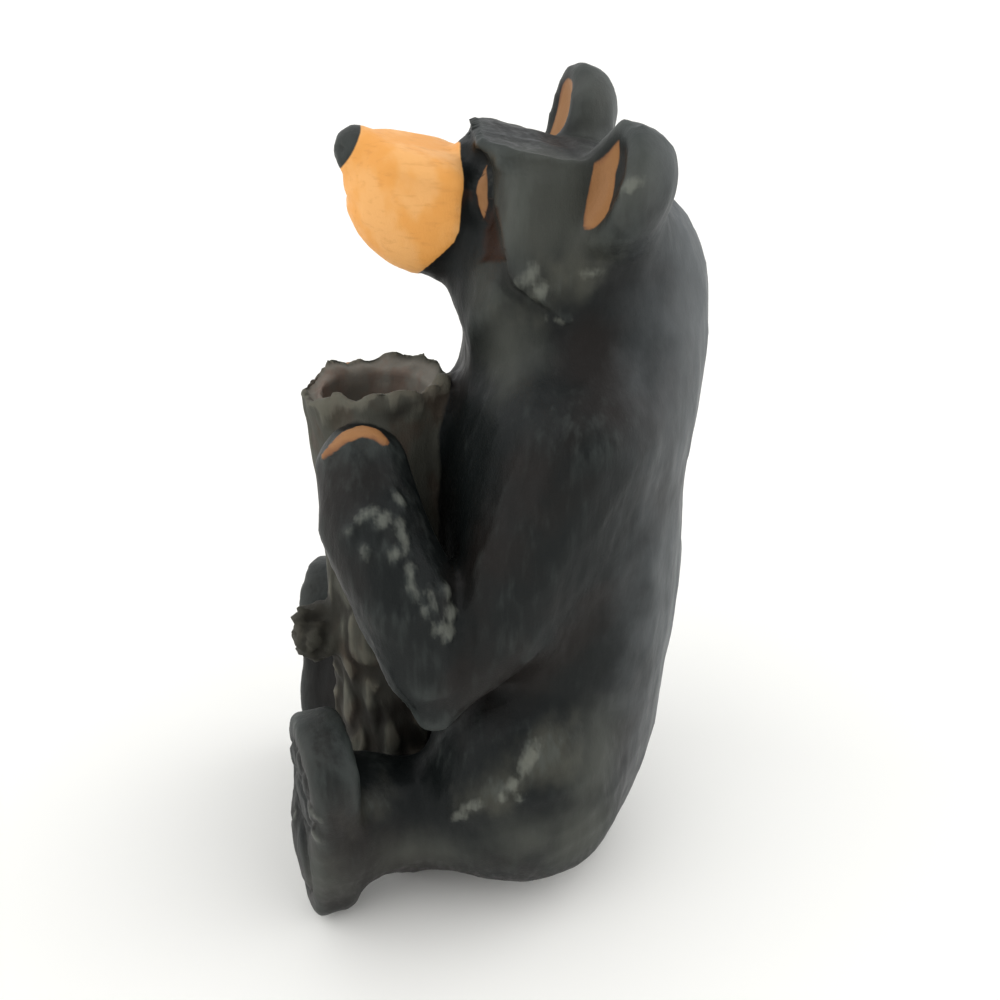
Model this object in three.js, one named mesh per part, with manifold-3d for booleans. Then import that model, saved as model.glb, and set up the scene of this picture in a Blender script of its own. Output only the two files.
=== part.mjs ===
// A seated black bear hugging an upright log, cast in one piece as a holder for a taper candle.
//
// Millimetres, +Z up. The bear looks towards -Y, its left side is +X, and it sits on Z = 0 with
// the origin under the middle of the whole figure. The bear is modelled as a field: each form
// gives the signed distance from a point to its surface, so that forms melt into each other as
// clay does. The log is turned on a lathe and given its bark. The two are fused, the candle socket
// is bored, the base is cut flat, and the skin is thinned to the triangles that it needs.

import * as THREE from 'three';
import { mergeVertices } from 'three/addons/utils/BufferGeometryUtils.js';
import Module from 'manifold-3d';

// The candle and the log that holds it.
const CANDLE_BORE = 22.4;
const SOCKET_DEPTH = 27;
const SOCKET_WALL = 2.4;
const MOUTH_FLARE_WIDTH = 0.9;
const MOUTH_DEPTH = 3;
const LOG_HEIGHT = 121;
const RIM_FLARE_WIDTH = 1.4;
const RIM_BAND_HEIGHT = 9;
const RIM_CHIP_DEPTH = 1.4;
const ROOT_FLARE_WIDTH = 5.5;
const ROOT_HEIGHT = 30;
const ROOTS = 6;
const STUB_RADIUS = 6.2;
const STUB_LENGTH = 7;
const STUB_HEIGHT = 61;
const STUB_YAW = 0.2;

// The web of resin between the back of the log and the chest, just below the rim.
const WEB_WIDTH = 19;
const WEB_DEPTH = 13;
const WEB_HEIGHT = 24;
const WEB_BELOW_RIM = 2;

// Bark: furrows that run up the log and wander, broken by knots.
const BARK_DEPTH = 0.7;
const WANDER_LENGTH = 23;
const TWIST_LENGTH = 9;
const KNOT_LENGTH = 17;
const SHORT_KNOT_LENGTH = 6.5;

// The bear keeps its proportions: lengths in it are hundredths of its height.
const FIGURE_HEIGHT = 178;
const U = FIGURE_HEIGHT / 100;
const u = (...numbers) => numbers.map((number) => number * U);

// How the bear holds the log: belly and shins press into the bark by HUG, and the paws end
// a little below the rim.
const HUG = 2;
const PAW_BELOW_RIM = 4.5;
const BELLY = 8.2 * U;
const LOG_RADIUS = CANDLE_BORE / 2 + SOCKET_WALL;
const LOG_Y = -(BELLY + LOG_RADIUS - HUG);

// Turns in degrees: a nod, a lean and a turn to the left.
const HEAD_TURN = [-15, 9, 3];
const EAR_TURN = [0, 10, 0];
const FOOT_TURN = [0, 9, 16];
const HAUNCH_TURN = [8, 0, 0];

// How finely the skin is drawn, and how many triangles it keeps.
const CELL = 1.25 * U;
const TRIANGLES = 9600;
const SHORTEST_EDGE_LENGTH = 0.15;
const LOG_SIDES = 56;
const LOG_ROWS = 26;
const SOCKET_SIDES = 48;
const STUB_SIDES = 18;
const STUB_ROWS = 4;

// Thinning turns no triangle by more than this cosine, leaves none slimmer than this, and draws
// a point that it moves towards the middle of its edge.
const LEAST_COSINE = 0.35;
const SLIMMEST = 0.03;
const PULL = 3.2e-6 * U * U;
const FLAT_WITHIN = 0.05;

// Plain forms: each gives the signed distance from a point to its surface, negative inside.

function pebble(rx, ry, rz, power = 2) {
  return (x, y, z) => {
    const sum = (Math.abs(x) / rx) ** power + (Math.abs(y) / ry) ** power + (Math.abs(z) / rz) ** power;
    const ratio = Math.max(sum, 1e-9) ** (1 / power);
    return Math.max(Math.hypot(x, y, z) * (1 - 1 / ratio), -Math.min(rx, ry, rz));
  };
}

function limb(...stations) {
  return (x, y, z) => {
    let nearest = Infinity;
    for (let i = 1; i < stations.length; i++) {
      const [ax, ay, az, ar] = stations[i - 1];
      const [bx, by, bz, br] = stations[i];
      const [dx, dy, dz] = [bx - ax, by - ay, bz - az];
      const along = ((x - ax) * dx + (y - ay) * dy + (z - az) * dz) / (dx * dx + dy * dy + dz * dz);
      const t = Math.min(1, Math.max(0, along));
      const away = Math.hypot(x - ax - t * dx, y - ay - t * dy, z - az - t * dz);
      nearest = Math.min(nearest, away - ar - t * (br - ar));
    }
    return nearest;
  };
}

// An upright trunk through stations of height, front, back and half width.
function trunk(power, ...stations) {
  const heights = Float32Array.from(stations, (station) => station[0]);
  const sizes = Float32Array.from(stations.flatMap((station) => station.slice(1)));
  const curve = new THREE.CubicInterpolant(heights, sizes, 3);
  const [low, high] = [heights[0], heights[heights.length - 1]];
  return (x, y, z) => {
    const [front, back, side] = curve.evaluate(Math.min(high, Math.max(low, z)));
    const around = pebble(side, (back - front) / 2, Infinity, power)(x, y - (back + front) / 2, 0);
    return Math.max(around, low - z, z - high);
  };
}

// All that lies beyond a plane.
const beyond = (nx, ny, nz, offset = 0) => (x, y, z) => offset - (nx * x + ny * y + nz * z);

// Ways to place and join forms.

function placed(form, at, turn = [0, 0, 0]) {
  const euler = new THREE.Euler(...turn.map(THREE.MathUtils.degToRad), 'ZYX');
  const matrix = new THREE.Matrix4().makeRotationFromEuler(euler).setPosition(...at);
  const e = matrix.invert().elements;
  return (x, y, z) => form(
    e[0] * x + e[4] * y + e[8] * z + e[12],
    e[1] * x + e[5] * y + e[9] * z + e[13],
    e[2] * x + e[6] * y + e[10] * z + e[14]);
}

const paired = (form) => (x, y, z) => form(Math.abs(x), y, z);

function softMin(a, b, radius) {
  const near = Math.max(radius - Math.abs(a - b), 0) / radius;
  return Math.min(a, b) - near * near * radius / 4;
}

function melt(radius, first, ...others) {
  return (x, y, z) => others.reduce(
    (depth, form) => softMin(depth, form(x, y, z), radius * U),
    first(x, y, z));
}

function cut(radius, form, tool) {
  return (x, y, z) => -softMin(-form(x, y, z), tool(x, y, z), radius * U);
}

// The bear, each part in hundredths of its height.

function torso() {
  const column = trunk(2.4,
    u(-6, -8, 15, 13.5),
    u(0, -8, 17.5, 15),
    u(9, -8.5, 19.8, 16.6),
    u(28, -8, 21.4, 17.2),
    u(42, -8.2, 22.4, 17),
    u(57, -7.8, 22.1, 16.3),
    u(66, -5.3, 23.1, 15.5),
    u(73, -3.2, 23.8, 13),
    u(80, -2, 23, 10.5),
    u(85, 0, 20.8, 9.5),
    u(91, 5, 14, 7));
  const undercut = (x, y, z) => 13.4 * U - 0.93 * Math.hypot(x, Math.max(y - 2 * U, 0)) + 0.37 * z;
  return cut(5, column, undercut);
}

function leg() {
  const shinX = LOG_RADIUS + 6 * U - HUG;
  const haunch = placed(pebble(...u(9.2, 12.2, 15.4), 2.2), u(13.2, 1.4, 17.8), HAUNCH_TURN);
  const shin = limb(
    [shinX, 0, 13 * U, 8.6 * U],
    [shinX, -13 * U, 11 * U, 6.4 * U],
    [shinX + 2 * U, -21 * U, 12.5 * U, 6 * U]);
  const instep = limb(
    [shinX, -11 * U, 14 * U, 4.4 * U],
    [shinX + 1.5 * U, -18.4 * U, 17.8 * U, 4.8 * U]);
  const egg = limb(u(0, 0, 4.9, 4.6), u(0, 0, 26.4, 6.6));
  const sole = (x, y, z) => egg(x, 0, z);
  const slab = cut(1.4, cut(2, sole, beyond(0, 1, 0, 6 * U)), beyond(0, -1, 0));
  const foot = placed(slab, [shinX + 2.2 * U, -27 * U, 0], FOOT_TURN);
  return melt(4, haunch, shin, foot, instep);
}

function arm() {
  const pawX = LOG_RADIUS + 2.2 * U;
  const pawY = LOG_Y - 1.8 * U;
  const pawZ = LOG_HEIGHT - PAW_BELOW_RIM - 5 * U;
  const elbow = u(18.8, -9.9, 33.4, 2.4);
  const upper = limb(u(12.5, 6, 63, 8), u(16.4, -1.7, 44.4, 6.2), elbow);
  const fore = limb(
    elbow,
    u(17.9, -10.6, 39.5, 4.9),
    u(16.4, -12.4, 47, 6),
    u(12.9, -15.7, 55, 5.8),
    [pawX, pawY, pawZ, 5 * U]);
  return [upper, fore];
}

function head() {
  const skull = placed(pebble(...u(11.8, 13, 12.5), 2.4), u(0, 6.5, -7.5));
  const flat = cut(0.8, skull, beyond(0, 0, 1, 3.2 * U));
  const faced = cut(0.3, flat, paired(beyond(0.42, -0.91, 0, 0.6 * U)));
  const jaw = placed(pebble(...u(8.5, 8, 5.5)), u(0, 11, -10.5));
  const muzzle = cut(2.5, placed(pebble(...u(6.4, 11.6, 10.4), 2.2), u(0, 0, -3.6)), beyond(0, 0, 1));
  const nose = placed(pebble(...u(2.6, 2.2, 2.6)), u(0, -11, -2.2));
  const lobe = cut(0.6, pebble(...u(5, 5.3, 6.4), 2.2), beyond(0, -1, 0, 1.6 * U));
  const bowl = placed(pebble(...u(3.6, 2, 4.8)), u(0, -2.4, 0));
  const ear = placed(cut(0.5, lobe, bowl), u(11.2, 14, 3.6), EAR_TURN);
  const under = cut(2, melt(3, faced, jaw), beyond(0, -0.65, -0.76, 9.6 * U));
  const face = melt(1, melt(0.9, under, muzzle), nose);
  return placed(melt(0.8, face, paired(ear)), u(0.6, -4.2, 92.1), HEAD_TURN);
}

function web() {
  const height = LOG_HEIGHT - WEB_BELOW_RIM - WEB_HEIGHT / 2;
  const form = pebble(WEB_WIDTH / 2, WEB_DEPTH / 2, WEB_HEIGHT / 2, 2.5);
  return placed(form, [0, LOG_Y + LOG_RADIUS + WEB_DEPTH / 4, height]);
}

function bear() {
  const [upper, fore] = arm();
  const trunkAndHead = melt(5, torso(), head(), paired(upper));
  const body = melt(1, trunkAndHead, web());
  const whole = melt(1, melt(2, body, paired(leg())), paired(fore));
  return (x, y, z) => Math.max(whole(x, y, z), -U - z);
}

// The skin of a field, by marching tetrahedra: a crossing on every lattice edge that it cuts.

const CORNERS = [[0, 0, 0], [1, 0, 0], [1, 1, 0], [0, 1, 0], [0, 0, 1], [1, 0, 1], [1, 1, 1], [0, 1, 1]];
const TETRAHEDRA = [[0, 5, 1, 6], [0, 1, 2, 6], [0, 2, 3, 6], [0, 3, 7, 6], [0, 7, 4, 6], [0, 4, 5, 6]];
const QUAD = [[0, 0], [0, 1], [1, 1], [1, 0]];

function skin(field, low, high, cell) {
  const [ni, nj, nk] = low.map((start, axis) => Math.ceil((high[axis] - start) / cell) + 1);
  const place = (id) => new THREE.Vector3(
    low[0] + cell * (id % ni),
    low[1] + cell * (Math.floor(id / ni) % nj),
    low[2] + cell * Math.floor(id / (ni * nj)));
  const values = new Float64Array(ni * nj * nk);
  for (let id = 0; id < values.length; id++) {
    const { x, y, z } = place(id);
    values[id] = field(x, y, z);
  }
  const steps = CORNERS.map(([i, j, k]) => i + ni * (j + nj * k));
  const crossings = new Map();
  const points = [];
  const triangles = [];

  function crossing(inner, outer) {
    const key = Math.min(inner, outer) * values.length + Math.max(inner, outer);
    if (!crossings.has(key)) {
      const share = values[inner] / (values[inner] - values[outer]);
      crossings.set(key, points.length);
      points.push(place(inner).lerp(place(outer), THREE.MathUtils.clamp(share, 0.08, 0.92)));
    }
    return crossings.get(key);
  }

  function cover(inside, outside) {
    let ring;
    if (inside.length === 1) ring = outside.map((o) => crossing(inside[0], o));
    else if (outside.length === 1) ring = inside.map((i) => crossing(i, outside[0]));
    else ring = QUAD.map(([i, o]) => crossing(inside[i], outside[o]));
    const [a, b, c] = ring.map((v) => points[v]);
    const normal = b.clone().sub(a).cross(c.clone().sub(a));
    if (normal.dot(place(outside[0]).sub(place(inside[0]))) < 0) ring.reverse();
    for (let v = 2; v < ring.length; v++) triangles.push(ring[0], ring[v - 1], ring[v]);
  }

  for (let k = 0; k + 1 < nk; k++)
    for (let j = 0; j + 1 < nj; j++)
      for (let i = 0; i + 1 < ni; i++) {
        const ids = steps.map((step) => i + ni * (j + nj * k) + step);
        const depth = ids.filter((id) => values[id] < 0).length;
        if (depth === 0 || depth === 8) continue;
        for (const tetrahedron of TETRAHEDRA) {
          const inside = tetrahedron.map((c) => ids[c]).filter((id) => values[id] < 0);
          const outside = tetrahedron.map((c) => ids[c]).filter((id) => values[id] >= 0);
          if (inside.length && outside.length) cover(inside, outside);
        }
      }
  return shell(points, triangles);
}

function shell(points, triangles) {
  const geometry = new THREE.BufferGeometry().setFromPoints(points);
  geometry.setIndex(triangles);
  return geometry;
}

// The log.

function bark(angle, z) {
  const wander = 2.4 * Math.sin(z / WANDER_LENGTH);
  const furrows = Math.sin(9 * angle + wander) + 0.7 * Math.sin(14 * angle - z / TWIST_LENGTH);
  const knots = Math.sin(3 * angle + z / KNOT_LENGTH) + Math.sin(5 * angle - z / SHORT_KNOT_LENGTH + 1);
  return BARK_DEPTH * (0.45 * furrows + 0.25 * knots);
}

function ragged(angle) {
  const broad = 0.6 * Math.sin(3 * angle + 1);
  const chips = 0.4 * Math.sin(7 * angle) + 0.3 * Math.sin(13 * angle + 2);
  return RIM_CHIP_DEPTH * (broad + chips);
}

// A lathe turning of radius 1 and height 1, whose points are then moved out to the bark.
function log() {
  const wall = Array.from({ length: LOG_ROWS + 1 }, (_, row) => new THREE.Vector2(1, row / LOG_ROWS));
  const profile = [new THREE.Vector2(0, 0), ...wall, new THREE.Vector2(0, 1)];
  const geometry = new THREE.LatheGeometry(profile, LOG_SIDES).rotateX(Math.PI / 2);
  const at = geometry.attributes.position;
  for (let v = 0; v < at.count; v++) {
    const angle = Math.atan2(at.getY(v), at.getX(v));
    const share = at.getZ(v);
    const z = share * (LOG_HEIGHT - RIM_CHIP_DEPTH) + (share > 0.99 ? ragged(angle) : 0);
    const low = Math.max(0, 1 - z / ROOT_HEIGHT);
    const high = Math.max(0, 1 - (LOG_HEIGHT - z) / RIM_BAND_HEIGHT);
    const roots = ROOT_FLARE_WIDTH * low * low * (0.55 + 0.45 * Math.cos(ROOTS * angle + 0.6));
    const edge = LOG_RADIUS + bark(angle, z) + roots + RIM_FLARE_WIDTH * Math.sqrt(high);
    const radius = Math.hypot(at.getX(v), at.getY(v)) * edge;
    at.setXYZ(v, radius * Math.cos(angle), radius * Math.sin(angle), z);
  }
  return geometry.translate(0, LOG_Y, 0);
}

// The stump of a cut branch, which points forward and a little to the bear's left.
function stub() {
  const length = LOG_RADIUS + STUB_LENGTH;
  const [tip, foot] = [0.92 * STUB_RADIUS, 1.15 * STUB_RADIUS];
  const geometry = new THREE.CylinderGeometry(tip, foot, length, STUB_SIDES, STUB_ROWS);
  geometry.translate(0, length / 2, 0);
  const at = geometry.attributes.position;
  for (let v = 0; v < at.count; v++) {
    const angle = Math.atan2(at.getZ(v), at.getX(v));
    const share = at.getY(v) / length;
    at.setY(v, at.getY(v) + share * BARK_DEPTH * (Math.sin(3 * angle) + 0.8 * Math.sin(5 * angle + 1)));
  }
  geometry.rotateX(Math.PI).rotateZ(STUB_YAW);
  return geometry.translate(0, LOG_Y, STUB_HEIGHT);
}

// The round hole for the candle: a flat bottom, a straight bore and a flared mouth.
function socket() {
  const bottom = LOG_HEIGHT - SOCKET_DEPTH;
  const lip = LOG_HEIGHT - MOUTH_DEPTH;
  const top = LOG_HEIGHT + 2 * RIM_CHIP_DEPTH;
  const bore = CANDLE_BORE / 2;
  const mouth = bore + MOUTH_FLARE_WIDTH * (top - lip) / MOUTH_DEPTH;
  const profile = [[0, bottom], [bore, bottom], [bore, lip], [mouth, top], [0, top]];
  const outline = profile.map(([r, z]) => new THREE.Vector2(r, z));
  const geometry = new THREE.LatheGeometry(outline, SOCKET_SIDES);
  return geometry.rotateX(Math.PI / 2).translate(0, LOG_Y, 0);
}

// Thinning: the edge whose loss moves the surface least goes first, until few enough are left.

function planeQuadric(a, b, c) {
  const normal = b.clone().sub(a).cross(c.clone().sub(a));
  const area = normal.length() / 2;
  const { x, y, z } = normal.normalize();
  const w = -normal.dot(a);
  const products = [x * x, x * y, x * z, x * w, y * y, y * z, y * w, z * z, z * w, w * w];
  return products.map((entry) => entry * area);
}

function quadricError(q, { x, y, z }) {
  return q[0] * x * x + 2 * q[1] * x * y + 2 * q[2] * x * z + 2 * q[3] * x + q[4] * y * y
    + 2 * q[5] * y * z + 2 * q[6] * y + q[7] * z * z + 2 * q[8] * z + q[9];
}

function shapeOf(a, b, c) {
  const normal = b.clone().sub(a).cross(c.clone().sub(a));
  const longest = Math.max(a.distanceToSquared(b), b.distanceToSquared(c), c.distanceToSquared(a));
  return { plumpness: normal.length() / longest, normal: normal.normalize() };
}

class Heap {
  items = [];

  push(item) {
    let at = this.items.push(item) - 1;
    while (at > 0) {
      const parent = (at - 1) >> 1;
      if (this.items[parent].cost <= item.cost) break;
      this.items[at] = this.items[parent];
      at = parent;
    }
    this.items[at] = item;
  }

  pop() {
    const top = this.items[0];
    const item = this.items.pop();
    const count = this.items.length;
    if (count === 0) return top;
    let at = 0;
    while (2 * at + 1 < count) {
      let child = 2 * at + 1;
      if (child + 1 < count && this.items[child + 1].cost < this.items[child].cost) child++;
      if (this.items[child].cost >= item.cost) break;
      this.items[at] = this.items[child];
      at = child;
    }
    this.items[at] = item;
    return top;
  }
}

function thin(points, faces, target) {
  const around = points.map(() => new Set());
  const quadrics = points.map(() => new Array(10).fill(0));
  const ages = points.map(() => 0);
  const heap = new Heap();
  const addTo = (sum, more) => more.forEach((entry, i) => { sum[i] += entry; });

  faces.forEach((face, f) => {
    const quadric = planeQuadric(...face.map((v) => points[v]));
    for (const v of face) {
      around[v].add(f);
      addTo(quadrics[v], quadric);
    }
  });

  function consider(a, b) {
    const sum = quadrics[a].map((entry, i) => entry + quadrics[b][i]);
    const middle = points[a].clone().lerp(points[b], 0.5);
    const [xx, xy, xz, , yy, yz, , zz] = sum;
    const matrix = new THREE.Matrix3().set(xx, xy, xz, xy, yy, yz, xz, yz, zz);
    const choices = [points[a], points[b], middle];
    const scale = (xx + yy + zz) ** 3;
    if (Math.abs(matrix.determinant()) > 1e-4 * scale) {
      const best = new THREE.Vector3(-sum[3], -sum[6], -sum[8]).applyMatrix3(matrix.invert());
      if (best.distanceTo(middle) < 2 * points[a].distanceTo(points[b])) choices.push(best);
    }
    let chosen = null;
    let cost = Infinity;
    for (const choice of choices) {
      const error = quadricError(sum, choice) + PULL * choice.distanceToSquared(middle);
      if (error < cost) [cost, chosen] = [error, choice];
    }
    heap.push({ cost, a, b, at: chosen.clone(), ages: ages[a] + ages[b] });
  }

  const neighbours = (v) => new Set([...around[v]].flatMap((f) => faces[f].filter((w) => w !== v)));

  // A collapse may not turn a triangle over, nor draw it out into a needle.
  function spoils(v, gone, at) {
    for (const f of around[v]) {
      if (faces[f].includes(gone)) continue;
      const was = shapeOf(...faces[f].map((w) => points[w]));
      const now = shapeOf(...faces[f].map((w) => (w === v ? at : points[w])));
      if (was.normal.dot(now.normal) < LEAST_COSINE) return true;
      if (now.plumpness < Math.min(SLIMMEST, was.plumpness)) return true;
    }
    return false;
  }

  for (let v = 0; v < points.length; v++)
    for (const w of neighbours(v)) if (v < w) consider(v, w);

  let count = faces.length;
  while (count > target && heap.items.length) {
    const { a, b, at, ages: age } = heap.pop();
    if (!around[a].size || !around[b].size || ages[a] + ages[b] !== age) continue;
    const ring = neighbours(a);
    const shared = [...neighbours(b)].filter((v) => ring.has(v));
    const short = points[a].distanceTo(points[b]) < SHORTEST_EDGE_LENGTH;
    if (shared.length !== 2 || (!short && (spoils(a, b, at) || spoils(b, a, at)))) continue;
    for (const f of [...around[b]]) {
      if (faces[f].includes(a)) {
        faces[f].forEach((v) => around[v].delete(f));
        count--;
      } else {
        faces[f] = faces[f].map((v) => (v === b ? a : v));
        around[a].add(f);
      }
    }
    around[b].clear();
    addTo(quadrics[a], quadrics[b]);
    points[a] = at;
    ages[a] += ages[b] + 1;
    for (const v of neighbours(a)) consider(a, v);
  }
  return faces.filter((face, f) => around[face[0]].has(f));
}

// Fusing and boring.

const wasm = await Module();
wasm.setup();

function solid(geometry) {
  geometry.deleteAttribute('normal');
  geometry.deleteAttribute('uv');
  const merged = mergeVertices(geometry, 1e-4);
  const vertProperties = Float32Array.from(merged.attributes.position.array);
  const triVerts = Uint32Array.from(merged.index.array);
  return new wasm.Manifold(new wasm.Mesh({ numProp: 3, vertProperties, triVerts }));
}

function threes(array, make) {
  return Array.from({ length: array.length / 3 }, (_, i) => make(...array.slice(3 * i, 3 * i + 3)));
}

const figure = skin(bear(), u(-30, -33, -2), u(30, 27, 103), CELL);
const below = new THREE.BoxGeometry(2 * FIGURE_HEIGHT, 2 * FIGURE_HEIGHT, FIGURE_HEIGHT);
below.translate(0, 0, -FIGURE_HEIGHT / 2);
const fused = solid(figure).add(solid(log())).add(solid(stub()));
const bored = fused.subtract(solid(socket())).subtract(solid(below)).getMesh();

// The base stays flat, and the origin goes under the middle of the figure.
const points = threes(bored.vertProperties, (x, y, z) => new THREE.Vector3(x, y, z));
const faces = thin(points, threes(bored.triVerts, (a, b, c) => [a, b, c]), TRIANGLES);
const geometry = shell(points, faces.flat()).toNonIndexed();
const at = geometry.attributes.position;
for (let v = 0; v < at.count; v++) if (Math.abs(at.getZ(v)) < FLAT_WITHIN) at.setZ(v, 0);
geometry.computeBoundingBox();
const middle = geometry.boundingBox.getCenter(new THREE.Vector3());
geometry.translate(-middle.x, -middle.y, 0);
geometry.computeVertexNormals();

const paint = new THREE.MeshStandardMaterial({ color: 0x2a2c2e, roughness: 0.5, metalness: 0 });
const holder = new THREE.Mesh(geometry, paint);
holder.name = 'bear_candle_holder';

const group = new THREE.Group();
group.add(holder);

export default group;
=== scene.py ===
# %% [markdown]
# # A seated black bear that hugs a log, cast in resin as a candle holder
#
# The real thing is one pour of stone-filled resin from a rubber mould of a wood carving, painted by
# hand with acrylics. So it is one skin, and Blender's work is to carve that skin and to paint it.
# The solid from CAD already has every main form. We cover it with an even net of small faces, carve
# fur, bark, face and feet into the net with numpy, and keep painted areas as distances on its points.

import bpy
import numpy as np
from mathutils import Euler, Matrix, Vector, noise
from mathutils.bvhtree import BVHTree


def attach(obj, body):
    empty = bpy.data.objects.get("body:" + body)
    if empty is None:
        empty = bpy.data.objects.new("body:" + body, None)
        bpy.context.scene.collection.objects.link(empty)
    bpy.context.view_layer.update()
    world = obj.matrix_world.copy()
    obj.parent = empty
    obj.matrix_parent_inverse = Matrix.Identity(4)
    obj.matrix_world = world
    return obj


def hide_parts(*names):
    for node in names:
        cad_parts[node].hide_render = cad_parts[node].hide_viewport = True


MM = 0.001
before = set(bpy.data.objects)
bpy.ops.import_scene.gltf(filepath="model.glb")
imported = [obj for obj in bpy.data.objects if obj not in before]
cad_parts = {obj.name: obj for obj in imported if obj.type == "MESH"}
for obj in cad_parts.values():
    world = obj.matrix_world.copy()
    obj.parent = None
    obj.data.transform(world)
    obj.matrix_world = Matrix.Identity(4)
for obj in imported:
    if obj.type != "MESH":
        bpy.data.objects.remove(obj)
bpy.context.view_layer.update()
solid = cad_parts["bear_candle_holder"]

# %% [markdown]
# ## The camera
#
# The photograph looks down on the bear's left side from about a hand's length away, so the near
# foot is large and the head leans over the log. A short distance with a normal lens gives the same
# strong perspective. The focal length is kept in pixels of the 1000 pixel frame, as it was measured.

# %% Place the camera
PHOTO_PX = 1000
FOCAL_PX = 1050
SENSOR_MM = 36
LENS_AT = Vector((205.7, -21.3, 195.4)) * MM
PITCH_DOWN, AZIMUTH = np.radians(27), np.radians(83)

camera = bpy.data.objects.new("photo_camera", bpy.data.cameras.new("photo_camera"))
camera.data.sensor_width = SENSOR_MM
camera.data.lens = FOCAL_PX / PHOTO_PX * SENSOR_MM
camera.data.clip_start = 1 * MM
camera.location = LENS_AT
camera.rotation_euler = (np.pi / 2 - PITCH_DOWN, 0, AZIMUTH)
bpy.context.scene.collection.objects.link(camera)
bpy.context.scene.camera = camera


def sight(px, py):
    """The direction in which the camera sees a pixel of the photograph."""
    across, down = px - PHOTO_PX / 2, py - PHOTO_PX / 2
    return camera.rotation_euler.to_matrix() @ Vector((across, -down, -FOCAL_PX)).normalized()


print("lens of", round(camera.data.lens, 1), "mm,", round(LENS_AT.length / MM), "mm from the figure's foot")

# %% [markdown]
# ## An even skin
#
# The CAD solid is a shell of long flat triangles. Carving needs small faces that lie evenly. Splitting
# the triangles would keep their long shapes, so Blender's voxel remesh lays a new net over the solid.
# Its cells are a little under a millimetre wide, which holds the finest cuts and still keeps the piece
# light enough to be used in a scene.

# %% Lay the net
NET_MM = 0.94

cast = bpy.data.objects.new("bear_cast", solid.data.copy())
cast.data.materials.clear()
bpy.context.scene.collection.objects.link(cast)
net = cast.modifiers.new("even_net", "REMESH")
net.mode = "VOXEL"
net.voxel_size = NET_MM * MM
net.use_smooth_shade = True
depsgraph = bpy.context.evaluated_depsgraph_get()
skin = bpy.data.meshes.new_from_object(cast.evaluated_get(depsgraph))
cast.modifiers.clear()
cast.data = skin
skin.name = "bear_cast"
print("net of", len(skin.vertices), "points and", len(skin.polygons), "faces")

# %% [markdown]
# ## Carving by numbers
#
# A sculptor would now take brushes. We move all points at once instead: numpy reads them as one table,
# adds a height to each along its normal, and writes them back. Lengths are in millimetres here, since
# that is how one thinks of such a figure. Smoothing needs to know which points are joined by an edge.


# %% Read, write and push the points
def read_points():
    """The points of the skin as a table of x, y and z in millimetres."""
    flat = np.empty(len(skin.vertices) * 3, np.float32)
    skin.vertices.foreach_get("co", flat)
    return flat.reshape(-1, 3).astype(float) / MM


def write_points(points):
    skin.vertices.foreach_set("co", (points * MM).astype(np.float32).ravel())
    skin.update()


def read_normals():
    flat = np.empty(len(skin.vertices) * 3, np.float32)
    skin.vertex_normals.foreach_get("vector", flat)
    return flat.reshape(-1, 3).astype(float)


def push(points, height):
    """Moves each point out along its normal by its height in millimetres."""
    moved = points + height[:, None] * read_normals()
    write_points(moved)
    return moved


edge_ends = np.empty(len(skin.edges) * 2, np.int32)
skin.edges.foreach_get("vertices", edge_ends)
first, second = edge_ends.reshape(-1, 2).T
from_end, to_end = np.concatenate([first, second]), np.concatenate([second, first])
neighbours = np.bincount(from_end, minlength=len(skin.vertices))
print("each point is joined to", neighbours.mean().round(2), "others")


def around(values):
    """The mean of each point's neighbours."""
    columns = values.reshape(len(values), -1).T
    sums = [np.bincount(from_end, column[to_end], len(values)) for column in columns]
    return (np.stack(sums, 1) / neighbours[:, None]).reshape(values.shape)


# %% [markdown]
# ## Where things are
#
# Carving and painting both ask the same question of a point: how far is it from the paw, the log or
# the muzzle? Each place is a simple form that gives a distance in millimetres, negative inside. The
# body is the same left and right, so paired places are asked with x made positive. Head and ears
# lean, so they have axes of their own.

# %% Forms that give a distance
FAR = 9.0  # stands for a distance that no border and no cut reaches
LOG_AXIS = np.array([0.1, -22.2])
LOG_RADIUS, LOG_TOP, BORE_RADIUS = 13.6, 121.0, 11.2
ROOT_TOP, ROOT_SWELL = 30.0, 5.5
RIM_BAND, RIM_SWELL = 9.0, 1.4
STUB_AT = np.array([4.2, -42.4, 61.0])
HEAD_AT = np.array([1.16, -3.52, 163.94])
HEAD_TURN = np.array(Euler(np.radians([-15, 9, 3])).to_matrix())
EAR_AT = np.array([19.9, 24.9, 6.4])
EAR_TURN = np.array(Euler(np.radians([0, 10, 0])).to_matrix())


def smooth(value, low, high):
    """Goes softly from 0 to 1 as the value goes from low to high."""
    share = np.clip((value - low) / (high - low), 0, 1)
    return share * share * (3 - 2 * share)


def paired(points):
    return points * [0, 1, 1] + np.abs(points) * [1, 0, 0]


def capsule(points, *stations):
    """Distance to a limb through stations of x, y, z and radius."""
    nearest = np.full(len(points), np.inf)
    for here, there in zip(stations, stations[1:]):
        start, step = np.array(here[:3]), np.subtract(there[:3], here[:3])
        share = np.clip((points - start) @ step / (step @ step), 0, 1)
        away = np.linalg.norm(points - start - share[:, None] * step, axis=1)
        nearest = np.minimum(nearest, away - here[3] - share * (there[3] - here[3]))
    return nearest


def ellipsoid(points, centre, radii):
    return (np.linalg.norm((points - centre) / radii, axis=1) - 1) * min(radii)


def in_head(points):
    """The same points along the head's own axes: x to its left, -y out of its nose, z up."""
    return (points - HEAD_AT) @ HEAD_TURN


def in_ear(points):
    return (paired(in_head(points)) - EAR_AT) @ EAR_TURN


print("the head's middle is", HEAD_AT[2], "mm up, the log's rim", LOG_TOP, "mm")

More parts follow.
